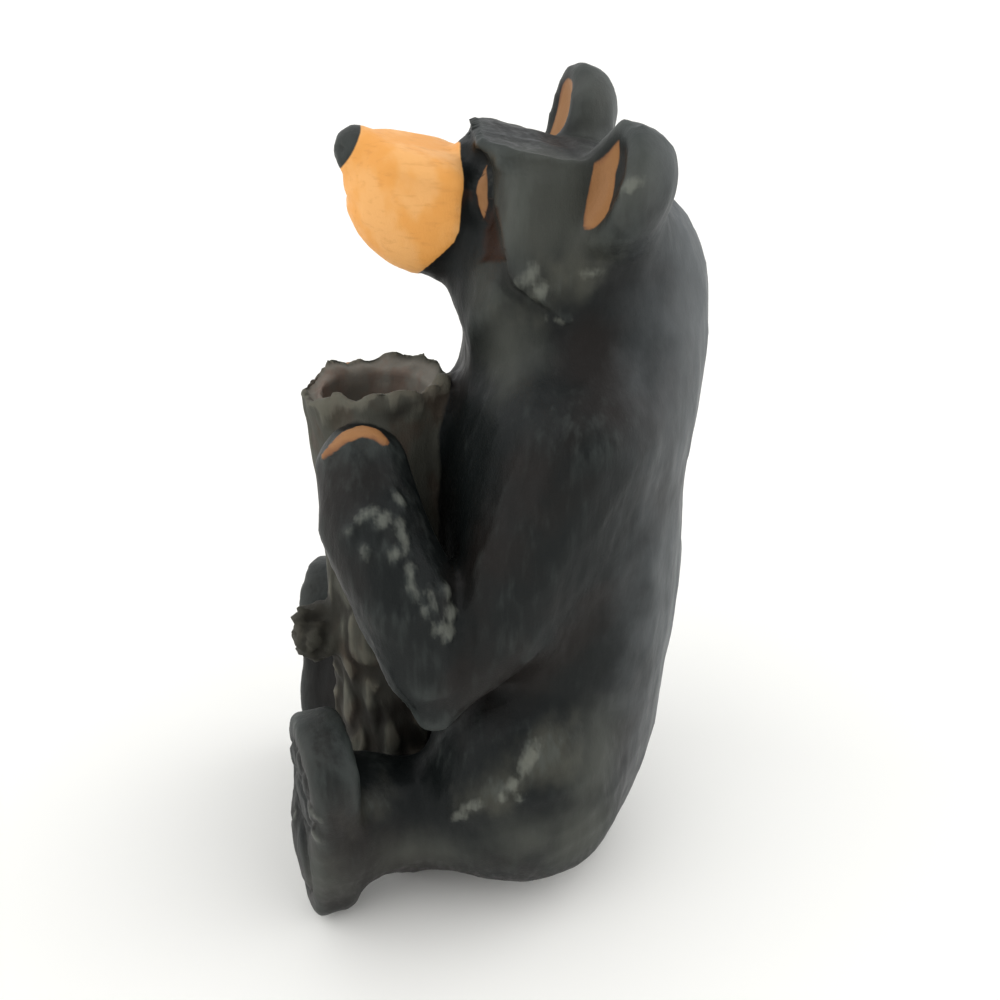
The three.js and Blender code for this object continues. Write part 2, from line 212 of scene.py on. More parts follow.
# %% [markdown]
# ## Facets away
#
# The flat triangles of the CAD solid still show through the net, and a mould of a hand carving has
# none. Smoothing draws each point towards its neighbours. Every second pass pushes a little the other
# way, so that facets go and the size stays. The rim, the bore and the standing face keep their edges.

# %% Smooth the skin
PASSES, DRAW_IN, PUSH_OUT = 36, 0.6, -0.61
RIM_HELD, BORE_HELD = 0.6, 0.8

points = read_points()
axis_distance = np.hypot(*(points[:, :2] - LOG_AXIS).T)
rim = smooth(points[:, 2], 108, 112) * smooth(axis_distance, 18, 16.5)
bore = smooth(axis_distance, 12.2, 11.6) * smooth(points[:, 2], 92, 93)
sole = smooth(points[:, 2], 1.2, 0.2)
free = 1 - np.clip(RIM_HELD * rim + BORE_HELD * bore + sole, 0, 1)
for smoothing_pass in range(PASSES):
    strength = DRAW_IN if smoothing_pass % 2 == 0 else PUSH_OUT
    points = points + (strength * free)[:, None] * (around(points) - points)
write_points(points)
print("smoothed; the net spans", np.ptp(points, axis=0).round(1), "mm")

# %% [markdown]
# ## The crisp brow
#
# The carver left the brow as a visor: a flat top and a flat front that meet in one sharp edge over
# the eyes. Hand work is never quite even, and here the top rises a little towards the left ear and
# the front runs a little askew. A voxel net rounds every edge, so the edge is made by hand: the net
# around the visor is first moved over to these two faces, and then every point near the edge goes
# straight onto the nearer of the two.

# %% Say where the visor's two faces lie
TOP_HEIGHT, TOP_RISE_BACK, TOP_RISE_LEFT, TOP_TWIST = 5.85, 0.02, 0.04, 0.0032
DROP_AT, DROP_SLOPE = 5, 0.12
FRONT_AT, FRONT_SKEW = 0.9, 0.09
CORNER_AT, CORNER_SLOPE = 9.8, 0.95


def visor_top(face):
    """Height of the visor's flat top at each point, with a drop towards the right ear."""
    rise = TOP_HEIGHT + TOP_RISE_BACK * face[:, 1] + face[:, 0] * (TOP_RISE_LEFT + TOP_TWIST * face[:, 1])
    return rise - DROP_SLOPE * np.clip(-face[:, 0] - DROP_AT, 0, 12)


def visor_front(face):
    """How far back the visor's flat front lies at each point, with its corners turned back."""
    corner = CORNER_SLOPE * np.clip(np.abs(face[:, 0]) - CORNER_AT, 0, 9)
    return FRONT_AT - FRONT_SKEW * face[:, 0] + corner


ends = np.array([[-12, 10, 0], [12, 10, 0]])
print("the visor's top is", visor_top(ends).round(1), "mm up at its right and left end")

# %% Move the skin onto the visor's faces
CAD_TOP, CAD_SLOPE, CAD_BACK = 5.7, 0.46, 1.18  # where the solid has the top and the front

face = in_head(points)
width = np.abs(face[:, 0])
lift = (visor_top(face) - CAD_TOP) * smooth(face[:, 2], -2, 5) * smooth(face[:, 1], 26, 20)
lift *= smooth(width, 20, 15)
slide = visor_front(face) - (CAD_SLOPE * width - CAD_BACK)
slide *= smooth(face[:, 2], 1.6, 3.6) * smooth(face[:, 1], 14, 6) * smooth(width, 19, 15)
face += np.stack([np.zeros(len(face)), slide, lift], 1)
behind = face[:, 1] - visor_front(face)
beneath = visor_top(face) - face[:, 2]
near_edge = smooth(np.minimum(behind, beneath), 1.7, 1.1) * smooth(width, 16, 14)
near_edge *= smooth(face[:, 1], 22, 18)
on_front = near_edge * (behind < beneath) * smooth(face[:, 2], 2.6, 3.8)
on_top = near_edge * (behind >= beneath)
face += np.stack([np.zeros(len(face)), -on_front * behind, on_top * beneath], 1)
points = face @ HEAD_TURN.T + HEAD_AT
write_points(points)
print("points on the visor:", int((near_edge > 0.5).sum()), "lifted by up to", lift.max().round(1), "mm")

# %% [markdown]
# ## Limbs, haunches and log
#
# Fur runs along each limb, and bark must stop where the coat starts, so every point has to know what
# it belongs to. Vertex groups could say that, but they would have to be painted by hand. Simple forms
# over the same limbs say it by themselves, and needn't be exact.

# %% Label the parts of the body
BARK_MARGIN, STUB_MARGIN = 1.3, 1.6  # bark is counted as such until this far outside its form
ELBOW = (33.5, -13.7, 59.5, 4.3)  # x, y, z and radius, as at every station of a limb
side = paired(points)
axis_offset = points[:, :2] - LOG_AXIS
axis_distance = np.hypot(*axis_offset.T)
angle = np.arctan2(axis_offset[:, 1], axis_offset[:, 0])
height = points[:, 2]

forearm = capsule(side, ELBOW, (31.9, -14.9, 70.3, 8.7), (29.2, -18.1, 83.7, 10.7),
                  (23.0, -24.0, 97.9, 10.3), (17.5, -25.4, 107.6, 8.9))
upper_arm = capsule(side, (22.3, 14.6, 112.1, 14.2), (29.2, 0.9, 79.0, 11.0), ELBOW)
shin = capsule(side, (22.3, 4.0, 23.1, 15.3), (22.3, -19.2, 19.6, 11.4), (25.8, -33.4, 22.3, 10.7))
instep = capsule(side, (22.3, -15.6, 24.9, 7.8), (25.0, -28.8, 31.7, 8.5))
haunch = ellipsoid(side, [23.5, 6.4, 31.7], [16.4, 21.7, 27.4])
root_swell = ROOT_SWELL * np.clip(1 - height / ROOT_TOP, 0, 1) ** 2 * (0.55 + 0.45 * np.cos(6 * angle + 0.6))
rim_swell = RIM_SWELL * np.sqrt(np.clip(1 - (LOG_TOP - height) / RIM_BAND, 0, 1))
log_skin = axis_distance - LOG_RADIUS - root_swell - rim_swell
stub = capsule(points, (2.0, -32.0, 61.0, 7.0), (*STUB_AT, 6.0))
wood = np.minimum(log_skin - BARK_MARGIN, stub - STUB_MARGIN)
wood = np.where(height > LOG_TOP + 4, FAR, wood)
print("points on the log:", int((wood < 0).sum()), "of", len(points))

# %% [markdown]
# ## Bark
#
# The log is a limb whose bark is worn nearly smooth under the broken end and stands in cracked folds
# towards the roots. A picture of bark could be wrapped round it, but it would stretch over the roots
# and the stub. Noise that is read in space fits any form. Voronoi cells that are stretched along the
# log give folds of the right length, and the difference between the distances to the two nearest cell
# middles falls to nothing along the cracks between them.


# %% Noise, read at every point
def noise_at(places, kind):
    """One of Blender's noises at each place."""
    return np.array([kind(Vector(place)) for place in places])


def waves(places, size, octaves=3):
    """Soft noise between about -1 and 1, for a pattern of the given size in millimetres."""
    return noise_at(np.asarray(places) / size, lambda place: noise.fractal(place, 1.0, 2.0, octaves))


def cells(places):
    """Distances to the nearest and second nearest cell middles."""
    return np.array([noise.voronoi(Vector(place))[0][:2] for place in places]).T


print("waves of 10 mm spread by", waves(points[::200], 10).std().round(2), "around nought")

# %% Cut the bark
FOLD_WIDTH, FOLD_LENGTH = 6.0, 17.0
CRACK_AT_ROOTS, CRACK_AT_RIM = 0.9, 0.2
WANDER, GRAIN, ROOT_RIDGE = 1.2, 0.28, 0.9

on_log = np.flatnonzero(wood < 2.5)
log_points = points[on_log]
wander = WANDER * waves(log_points, 13, 2)
fold_places = log_points / [FOLD_WIDTH, FOLD_WIDTH, FOLD_LENGTH]
near, far = cells(fold_places + wander[:, None] * [0.35, 0.35, 0])
fold = smooth(far - near, 0.0, 0.45)
grain = waves(log_points * [1, 1, 0.2], 2.8, 2)
outside = smooth(axis_distance[on_log], BORE_RADIUS + 0.8, BORE_RADIUS + 2.2)
depth = CRACK_AT_RIM + (CRACK_AT_ROOTS - CRACK_AT_RIM) * smooth(log_points[:, 2], 100, 50)
crack = np.zeros(len(points))
crack[on_log] = (1 - fold) * outside * depth
bark_relief = np.zeros(len(points))
bark_relief[on_log] = (depth * (fold - 0.7) + GRAIN * grain + 0.5 * wander) * outside
bark_share = smooth(wood, 1.2, -0.2) * smooth(height, 0.1, 3)
roots = smooth(height, 52, 18) * smooth(wood, 1.5, -0.5)
root_ridges = ROOT_RIDGE * (1 - np.abs(np.sin(5.5 * angle + 0.9 * np.sin(height / 11)))) ** 2 * roots
points = push(points, bark_share * (bark_relief + root_ridges))
print("bark between", bark_relief.min().round(2), "and", bark_relief.max().round(2), "mm")

# %% [markdown]
# ## The broken end of the log
#
# The log's upper end is torn, not sawn, and a candle stands in it. Its edge is highest on the bear's
# left and sinks towards the front, the wall flares and is thin on the right, and one lump sits by the
# throat. A boolean cut would leave a clean edge, so the rim's own points are lifted, spread and
# roughened. The bore stays the candle's, apart from lumps of less than a millimetre.

# %% Tilt and spread the rim
RIM_RISE_LEFT, RIM_RISE_RIGHT, RIM_FALL_FRONT, RIM_WIDENED = 1.7, 0.6, 2.8, 1.4
RIM_CHIPS, RIM_CRUMBS, RIM_INNER_FALL = 0.45, 0.25, 1.6

end = smooth(height, LOG_TOP - 10, LOG_TOP - 2) * smooth(height, LOG_TOP + 6, LOG_TOP + 4)
end *= smooth(axis_distance, 18.5, 17)
top = smooth(height, LOG_TOP - 4.5, LOG_TOP - 1.0) * end
tilt = RIM_RISE_LEFT * smooth(points[:, 0], 2, 12)
tilt -= RIM_FALL_FRONT * smooth(LOG_AXIS[1] - points[:, 1], 7, 14)
tilt += RIM_RISE_RIGHT * smooth(-points[:, 0], 2, 10)
chips = waves(points, 7.5, 2)
crumbs = waves(points, 2.8, 2)
ledge = smooth(axis_distance, BORE_RADIUS + 0.8, BORE_RADIUS + 2.4)
points[:, 2] += top * (tilt + RIM_CHIPS * chips * ledge + RIM_CRUMBS * crumbs - RIM_INNER_FALL * (1 - ledge))
outward = (points[:, :2] - LOG_AXIS) / np.maximum(axis_distance, 1)[:, None]
widen = RIM_WIDENED * top * smooth(axis_distance, 14.8, 13.2) * smooth(axis_distance, 9, 10.5)
widen *= smooth(-points[:, 0], -6, 6)
points[:, :2] += widen[:, None] * outward
write_points(points)
print("rim between", points[top > 0.5, 2].min().round(1), "and", points[top > 0.5, 2].max().round(1), "mm")

# %% Roughen the rim and the bore
LUMP_AT, LUMP_SIZE, LUMP_HEIGHT = [3.0, -8.2, 119.5], [3.6, 2.6, 2.8], 2.3
EDGE_CHIPS, EDGE_CRUMBS, WALL_LUMPS, WALL_CRUMBS = 0.4, 0.25, 0.7, 0.2

lump = np.exp(-np.sum(((points - LUMP_AT) / LUMP_SIZE) ** 2, axis=1))
wall = smooth(axis_distance, BORE_RADIUS + 1.4, BORE_RADIUS + 0.4)
wall *= smooth(height, 93, 96) * smooth(height, 125, 123)
wall_relief = wall * (WALL_LUMPS * waves(points * [1, 1, 0.6], 5.0, 2) + WALL_CRUMBS * crumbs)
edge_relief = end * ledge * (EDGE_CHIPS * chips + EDGE_CRUMBS * crumbs)
points = push(points, edge_relief + LUMP_HEIGHT * lump + wall_relief)
print("the bore is rough by", np.percentile(wall_relief[wall > 0.5], [5, 95]).round(2), "mm")

# %% [markdown]
# ## The branch stub
#
# A branch was torn off the front of the log, and its end is a bundle of splinters. The folds of noise
# where it changes sign are sharp, so their absolute value gives splinters without modelling any.

# %% Break the end of the branch stub
STUB_RAISED, SPLINTER_DEPTH, STUB_CRUMBS = 0.9, 2.2, 0.5

stub_end = smooth(stub, 1.4, 0.2) * smooth(points[:, 1], -34.5, -37.5)
splinters = np.abs(waves(points * [1, 0.35, 1], 3.2, 2))
torn = stub_end * (STUB_RAISED - SPLINTER_DEPTH * splinters + STUB_CRUMBS * crumbs)
points = push(points, torn)
print("the stub's end is torn between", torn.min().round(1), "and", torn.max().round(1), "mm")

# %% [markdown]
# ## The face
#
# Below the visor the head is plain knife cuts: a step down to a smooth muzzle, narrow almond eyes
# in a hollow beside it, and a hood of fur whose edge runs from the brow down behind the cheek. Each
# could be a piece of its own that cuts into the head, but then the paint would meet a seam. So each
# mark is measured along the head's own axes and becomes a small step that the net can just hold.

# %% Measure the eyes, the hood and the hollows
EYE_TOP, EYE_LOW = np.array([6.4, 1.7]), np.array([9.7, -7.9])
EYE_HALF_WIDTH, EYE_ACROSS = 1.0, [0.51, 0.86, 0]
HOOD_HEIGHTS = [-19.5, -17.0, -15.2, -13.0, -9.5, -3.0, 2.6]
HOOD_DEPTHS = [23.0, 15.5, 11.4, 9.4, 7.8, 5.2, 3.4]
HOOD_SLANT = 0.85  # the hood's edge is met at a slant, so a step back is shorter across it
HOLLOW_FRONT, HOLLOW_LEAN, HOLLOW_FOOT, HOLLOW_RISE = 10.8, 0.53, -14.9, 0.64


def measure_eye(cheek):
    """Distance to the almond of the eye, drawn on the flat between muzzle and hood."""
    place = np.stack([cheek @ EYE_ACROSS, cheek[:, 2]], 1)
    run = EYE_LOW - EYE_TOP
    share = np.clip((place - EYE_TOP) @ run / (run @ run), 0, 1)
    away = np.linalg.norm(place - EYE_TOP - share[:, None] * run, axis=1)
    eye = away - EYE_HALF_WIDTH * (1 - np.abs(2 * share ** 1.2 - 1) ** 2.2)
    return np.where((cheek[:, 1] < 9) & (cheek[:, 0] < 15), eye, FAR)


def measure_hood(cheek):
    """Distance behind the edge of the hood, negative on the throat's side of it."""
    return HOOD_SLANT * (cheek[:, 1] - np.interp(cheek[:, 2], HOOD_HEIGHTS, HOOD_DEPTHS))


def measure_hollow(cheek):
    """Distance into the wedge between eye, muzzle and hood, positive inside."""
    front = cheek[:, 0] - HOLLOW_FRONT - HOLLOW_LEAN * (-8.5 - cheek[:, 2])
    foot = cheek[:, 2] - HOLLOW_FOOT - HOLLOW_RISE * (cheek[:, 0] - 14.2)
    return np.minimum(np.minimum(front, -measure_hood(cheek)), np.minimum(foot, -3.5 - cheek[:, 2]))


cheek = paired(in_head(points))
eye, hood, hollow = measure_eye(cheek), measure_hood(cheek), measure_hollow(cheek)
print("points on the eyes:", int((eye < 0).sum()), "and in the hollows:", int((hollow > 0).sum()))

# %% Carve the eyes, the hollows and the hood
EYE_RAISED, EYE_GROOVE, HOLLOW_DEPTH, HOOD_RAISED, THROAT_SUNK = 0.45, 0.6, 0.7, 1.0, 0.8

on_face = smooth(cheek[:, 0], 5, 7.5) * smooth(cheek[:, 2], 4.2, 3.0)
throat = smooth(cheek[:, 2], -27, -16)
carving = on_face * (
    EYE_RAISED * smooth(eye, 0.5, -0.4)
    - EYE_GROOVE * np.exp(-((eye - 0.75) / 0.5) ** 2)
    - HOLLOW_DEPTH * smooth(hollow, -0.4, 1.2) * smooth(cheek[:, 2], -1, -4)
    + throat * HOOD_RAISED * smooth(hood, -0.4, 0.4) * smooth(hood, 10, 2) * smooth(cheek[:, 1], 24, 14)
    - throat * THROAT_SUNK * smooth(hood, 0.2, -0.6) * smooth(hood, -7, -1.5))
points = push(points, carving)
print("the face is carved between", carving.min().round(2), "and", carving.max().round(2), "mm")

# %% [markdown]
# ## Muzzle and nose
#
# The muzzle is bare and smooth, and a small step parts it from the fur behind. Nostrils, the groove
# under the nose and the mouth are shallow dents, so soft forms that are subtracted do for them.

# %% Carve the muzzle and the nose
MUZZLE_HEIGHTS = [-24, -21.4, -17.5, -13.5, -11, 0]
MUZZLE_DEPTHS = [-3.2, -2.7, -1.2, 0.7, 1.0, -0.8]
NOSTRIL_AT, NOSTRIL_SIZE = [2.3, -22.4, -3.6], [1.3, 1.4, 0.9]
MOUTH_HEIGHT = -13.4
NOSTRIL_DEPTH, LIP_DEPTH, MOUTH_DEPTH, STEP_DEPTH = 0.8, 0.5, 0.45, 0.4


def measure_muzzle(face):
    """Distance in front of the rear edge of the bare muzzle."""
    return np.interp(face[:, 2], MUZZLE_HEIGHTS, MUZZLE_DEPTHS) - face[:, 1]


face = in_head(points)
width = np.abs(face[:, 0])
nostril = np.linalg.norm((paired(face) - NOSTRIL_AT) / NOSTRIL_SIZE, axis=1)
mouth_height = MOUTH_HEIGHT + 0.1 * width
lip_groove = np.exp(-(width / 0.75) ** 2) * smooth(face[:, 1], -13, -15) * smooth(face[:, 2], -6.2, -7.6)
lip_groove *= smooth(face[:, 2], mouth_height - 0.4, mouth_height + 0.4)
mouth = np.exp(-((face[:, 2] - mouth_height) / 0.8) ** 2) * smooth(face[:, 1], -10.5, -13.5)
mouth *= smooth(width, 6.5, 4.5)
muzzle = measure_muzzle(face)
muzzle_step = smooth(muzzle, 0.4, -0.6) * smooth(muzzle, -5, -1.5)
near_muzzle = smooth(width, 13.5, 12) * smooth(face[:, 2], -26, -24) * smooth(face[:, 2], 1.6, 0.4)
dents = -NOSTRIL_DEPTH * smooth(nostril, 1.3, 0.4) - LIP_DEPTH * lip_groove - MOUTH_DEPTH * mouth
dents -= STEP_DEPTH * muzzle_step * near_muzzle
points = push(points, dents)
print("the muzzle is dented by up to", -dents.min().round(2), "mm")

# %% [markdown]
# ## Knife cuts and fur
#
# The carver left shallow gouge cuts all over the coat, and clumps of short, rough fur on forearms,
# thighs, cheeks and feet. A gouge leaves a long hollow with a sharp ridge to the next one, which is
# what a Voronoi cell gives when the square of the distance to its middle is used as the height.
# The cells are stretched along the coat: up and down on the trunk, and along each limb. Only
# muzzle, ear bowls and bark are left as they are.


# %% A pattern of gouges
GOUGE_BEND = 0.22


def gouges(places, direction, width, length):
    """Long hollows that run along a direction, 0 in their middles and 1 at the ridges."""
    direction = np.array(direction) / np.linalg.norm(direction)
    share = places @ direction
    squeezed = (places - share[:, None] * direction) / width + (share / length)[:, None] * direction
    near = cells(squeezed + GOUGE_BEND * waves(places, 16, 2)[:, None])[0]
    return np.clip(near, 0, 1) ** 2


sample = gouges(points[::200], [0, 0, 1], 5.0, 19)
print("a sample of the pattern lies between", sample.min().round(2), "and", sample.max().round(2))

# %% Cut the gouges
BROAD_CUT, FINE_CUT, SWELL = 0.6, 0.2, 0.5

side = paired(points)
face = in_head(points)
ear_place = in_ear(points)
coat = smooth(wood, 0.2, 1.2) * smooth(height, 0.4, 3)
bare = smooth(face[:, 1], 2.5, -0.5) * smooth(face[:, 2], -27, -24) * smooth(height, 138, 141)
in_bowl = smooth(np.linalg.norm(ear_place / [10, 11, 12.5], axis=1), 1.05, 0.95)
in_bowl *= smooth(ear_place[:, 1], -1.2, -2.2)
rough_coat = coat * (1 - np.maximum(bare, in_bowl))
on_forearm = smooth(forearm, 1.6, 0.4)
on_upper_arm = smooth(upper_arm, 3.0, 0.5) * (1 - on_forearm)
on_leg = smooth(np.minimum(np.minimum(shin, instep), haunch), 2.0, 0.4) * (1 - on_forearm)
on_trunk = 1 - np.clip(on_forearm + on_upper_arm + on_leg, 0, 1)
broad = (
    on_trunk * gouges(side, [0.05, 0.12, 1], 5.0, 19)
    + on_forearm * gouges(side, [-0.5, -0.4, 0.8], 4.2, 14)
    + on_upper_arm * gouges(side, [0.2, -0.5, -1], 4.8, 17)
    + on_leg * gouges(side, [0.1, -1, -0.25], 4.6, 14))
fine = gouges(side, [0, 0.1, 1], 2.2, 9)
swell = SWELL * waves(points, 24, 2)
cuts = rough_coat * (BROAD_CUT * (broad - 0.4) + FINE_CUT * (fine - 0.4) + swell)
points = push(points, cuts)
print("gouges between", cuts.min().round(2), "and", cuts.max().round(2), "mm")

# %% [markdown]
# ## Marks taken from the photograph
#
# Clumps of fur, rubbed places that also carry painted light, pale patches of painted light, dark marks
# of painted shade and the claws sit where the photograph shows them. Guessing them in space is slow, so
# each is noted by its pixel, and a ray from the camera finds the point of the skin that the pixel shows.
# The right side gets the same marks in mirror image.

# %% Note the marks by their pixels
# Each mark is px, py, half length and half width in millimetres, and its lean from upright in degrees.
CLUMPS = [
    (368, 515, 2.6, 1.2, -62), (350, 531, 1.1, 0.9, 0), (366, 552, 1.3, 1.0, 10),
    (398, 498, 1.7, 0.8, 40), (401, 533, 3.6, 1.3, 12), (394, 553, 1.6, 1.2, -20),
    (409, 572, 2.2, 1.1, 15), (424, 611, 1.2, 0.9, 20), (445, 592, 1.8, 1.2, 10),
    (450, 613, 1.8, 1.5, 15), (447, 633, 2.0, 1.7, 30),
    (529, 757, 4.4, 1.7, -25), (513, 783, 2.1, 1.4, -35), (503, 797, 1.2, 1.1, 0),
    (521, 798, 1.1, 0.9, -60), (473, 805, 3.0, 1.2, -68), (461, 815, 2.2, 1.0, -60),
    (382, 520, 2.2, 1.0, -40), (412, 590, 2.2, 0.9, 20), (432, 600, 2.6, 1.0, 15),
    (438, 628, 1.8, 1.3, -20),
    (296, 812, 1.9, 0.8, 20), (315, 815, 2.6, 0.8, 25), (316, 835, 1.8, 1.0, 25),
    (528, 275, 2.6, 1.6, -30), (541, 290, 2.0, 1.2, -45), (592, 271, 2.2, 0.9, -75),
    (560, 318, 1.9, 0.8, -75), (632, 184, 2.6, 1.0, -60),
]
# Worn patches are partly rubbed paint and partly painted light: a painted sheen on the haunch's top and a
# painted lit facet at the near ankle.
WORN_AND_LIT_PATCHES = [
    (545, 755, 7.5, 5.0, -35), (500, 790, 7.0, 3.0, -65), (368, 806, 5.0, 2.6, -85),
    (550, 290, 7.0, 2.5, -60),
]
# Pale patches of painted light where the coat turns to the light or to the bright floor: on the head, the
# ears, the neck, the haunch, the shin and the foot.
PAINTED_LIGHT_PATCHES = [
    (545, 200, 11.0, 9.0, 0), (575, 235, 6.0, 5.0, 0), (600, 108, 8.0, 4.0, -20), (634, 176, 4.0, 2.5, -30),
    (505, 340, 9.0, 4.0, 5), (585, 835, 9.0, 7.0, -60), (530, 840, 6.0, 4.0, -80), (322, 880, 6.0, 3.0, 0),
    (600, 760, 9.0, 6.0, 0), (425, 850, 9.0, 2.5, -90),
]
# Painted shade: dark marks where shade falls behind the near foot, under the log's rim and under the near
# forearm.
PAINTED_SHADE_MARKS = [
    (378, 715, 6.0, 2.6, -60), (402, 410, 3.2, 1.0, -80), (408, 698, 7.0, 1.4, 31),
]
CLAW_STROKE = [  # px, py and half width in millimetres
    (325, 456, 0.9), (336, 446, 1.3), (349, 436, 1.65), (361, 432, 1.9), (374, 434, 1.8), (382, 441, 1.4),
]
print(len(CLUMPS), "clumps,", len(WORN_AND_LIT_PATCHES), "worn and", len(PAINTED_LIGHT_PATCHES), "dusty patches")

# %% Find the marks on the skin
tree = BVHTree.FromObject(cast, bpy.context.evaluated_depsgraph_get())
up_in_view = camera.rotation_euler.to_matrix() @ Vector((0, 1, 0))
right_in_view = camera.rotation_euler.to_matrix() @ Vector((1, 0, 0))


def find_marks(marks):
    """Where each mark of the photograph lies on the skin, and how it runs there."""
    places = []
    for px, py, half_length, half_width, lean in marks:
        hit, normal = tree.ray_cast(LENS_AT, sight(px, py))[:2]
        turn = np.radians(lean)
        run = up_in_view * np.cos(turn) - right_in_view * np.sin(turn)
        run = (run - run.dot(normal) * normal).normalized()
        places.append((np.array(hit) / MM, np.array(run), half_length, half_width))
    return places


def measure_marks(places):
    """Distance to the nearest mark on either side of the body."""
    nearest = np.full(len(points), FAR)
    for mirror in ([1, 1, 1], [-1, 1, 1]):
        for middle, run, half_length, half_width in places:
            away = points - middle * mirror
            lengthwise = away @ (run * mirror)
            crosswise = np.sqrt(np.maximum(np.sum(away ** 2, axis=1) - lengthwise ** 2, 0))
            reach = np.hypot(lengthwise / half_length, crosswise / half_width)
            nearest = np.minimum(nearest, (reach - 1) * half_width)
    return nearest


clump_places, painted_shade_places = find_marks(CLUMPS), find_marks(PAINTED_SHADE_MARKS)
worn_and_lit_places, painted_light_places = find_marks(WORN_AND_LIT_PATCHES), find_marks(PAINTED_LIGHT_PATCHES)
claw_stations = [(*(tree.ray_cast(LENS_AT, sight(px, py))[0] / MM), half) for px, py, half in CLAW_STROKE]
print("the claws run from", np.round(claw_stations[0], 1), "to", np.round(claw_stations[-1], 1))

# %% Raise the clumps on both sides
CLUMP_HEIGHT, STRAND_HEIGHT, STRAND_REACH = 0.7, 0.5, 0.7

clump = measure_marks(clump_places)
tufts = np.flatnonzero(clump < 3)
strands = np.zeros(len(points))
strands[tufts] = waves(points[tufts] * [1, 1, 0.45], 1.8)
clump_edge = clump + STRAND_REACH * strands
tuft_relief = smooth(clump_edge, 1.1, -0.8) * (CLUMP_HEIGHT + STRAND_HEIGHT * strands) * coat
points = push(points, tuft_relief)
print("points in clumps:", int((clump_edge < 0).sum()), "raised by up to", tuft_relief.max().round(2), "mm")

# %% [markdown]
# ## Feet and paws
#
# The soles face forward and stand on their heels. A carved bear has pads on them: one broad pad and
# five toes. They could be balls that are joined to the foot, but carved pads are hardly proud, so they
# are shallow ovals with a groove round each. The paws grip the bark, and their claws are one raised
# stroke that will be painted tan.

# %% Cut the pads and the claws
PAD_RAISED, PAD_GROOVE, CLAW_RAISED = 0.4, 0.5, 0.6
FOOT_AT = np.array([26.2, -44.1, 0.0])
FOOT_TURN = np.array(Euler(np.radians([0, 9, 16])).to_matrix())
PADS = [
    # x, z, half width, half height in the sole's own axes
    (0.0, 20.5, 6.6, 10.5), (-7.6, 43.2, 2.2, 2.9), (-4.2, 47.4, 2.2, 3.1), (0.2, 49.0, 2.3, 3.2),
    (4.6, 47.6, 2.2, 3.1), (8.0, 43.6, 2.1, 2.8), (0.0, 37.8, 6.8, 3.8),
]

side = paired(points)
foot = (side - FOOT_AT) @ FOOT_TURN
pad = np.full(len(points), FAR)
for x, z, half_width, half_height in PADS:
    reach = np.hypot((foot[:, 0] - x) / half_width, (foot[:, 2] - z) / half_height)
    pad = np.minimum(pad, (reach - 1) * min(half_width, half_height))
on_sole = smooth(foot[:, 1], 3.0, 1.6) * smooth(height, 0.5, 3) * smooth(foot[:, 2], 57, 54)
on_sole *= smooth(np.abs(foot[:, 0]), 12.5, 10.5)
claw = capsule(side, *claw_stations)
pad_relief = PAD_RAISED * smooth(pad, 0.3, -1.0) - PAD_GROOVE * np.exp(-((pad - 0.5) / 0.5) ** 2)
points = push(points, on_sole * pad_relief + CLAW_RAISED * smooth(claw, 0.5, -0.7))
pad_points, claw_points = int(((pad < 0) & (on_sole > 0.5)).sum()), int((claw < 0).sum())
print("points on the pads:", pad_points, "and on the claws:", claw_points)

# %% [markdown]
# ## What stands proud
#
# A dry brush touches only what stands proud, and handling rubs the same places. Blender can find such
# places while it renders, but only at one size. So the skin is smoothed on paper, a little and then a
# lot, and each point keeps how far it stands above the smoothed skin.


# %% Measure what stands proud
FINE_PASSES, BROAD_PASSES, SETTLING = 14, 60, 0.7


def stands_above(points, passes):
    """How far each point stands out of the skin as it would be after that much smoothing."""
    settled = points
    for smoothing_pass in range(passes):
        settled = settled + SETTLING * (around(settled) - settled)
    return np.sum((points - settled) * read_normals(), axis=1), settled


proud, settled = stands_above(points, FINE_PASSES)
edge = stands_above(settled, BROAD_PASSES)[0]
print("proud by", np.percentile(proud, [5, 50, 95]).round(2), "mm")
print("edges by", np.percentile(edge, [5, 50, 95]).round(2), "mm")

# %% [markdown]
# ## Notes for the painter
#
# The paint follows the carving, and the brush leaves crisp borders. Colours kept on the points would
# be as ragged as the net. So each border is kept as a distance in millimetres, and the material turns
# it into an edge wherever the distance passes nought.

# %% Measure the borders of the paint
NOSE_BACK, NOSE_LEAN = -19.3, 0.3
EAR_X, EAR_Z, EAR_HALF_WIDTH, EAR_HALF_HEIGHT, EAR_SQUARE = 0.0, -0.6, 4.8, 8.2, 2.8
EAR_EDGE_Z, EAR_EDGE_X = [-7.0, -4.1, -1.2, 1.2, 5.2, 8.0], [5.0, 5.0, 0.6, -1.8, -2.5, -3.2]
EAR_EDGE_SLANT, EAR_FRONT, EAR_DEPTH = 0.7, 0.5, 4.6
EYE_LINE_AT, EYE_LINE_HALF_WIDTH = 0.55, 0.7
INSIDE_FROM, INSIDE_MARGIN = 92, 1.6

face = in_head(points)
cheek = paired(face)
muzzle = np.minimum(measure_muzzle(face), face[:, 1] - NOSE_BACK - NOSE_LEAN * np.minimum(face[:, 2], 0))
muzzle = np.where((height > 136) & (np.abs(face[:, 0]) < 16), muzzle, -FAR)
eye = measure_eye(cheek)
ear_place = in_ear(points)
wide, high = (ear_place[:, 0] - EAR_X) / EAR_HALF_WIDTH, (ear_place[:, 2] - EAR_Z) / EAR_HALF_HEIGHT
ear = (1 - (np.abs(wide) ** EAR_SQUARE + np.abs(high) ** EAR_SQUARE) ** (1 / EAR_SQUARE)) * EAR_HALF_WIDTH
ear = np.minimum(ear, np.minimum(EAR_FRONT - ear_place[:, 1], ear_place[:, 1] + EAR_DEPTH))
left_edge = EAR_EDGE_SLANT * (np.interp(ear_place[:, 2], EAR_EDGE_Z, EAR_EDGE_X) - ear_place[:, 0])
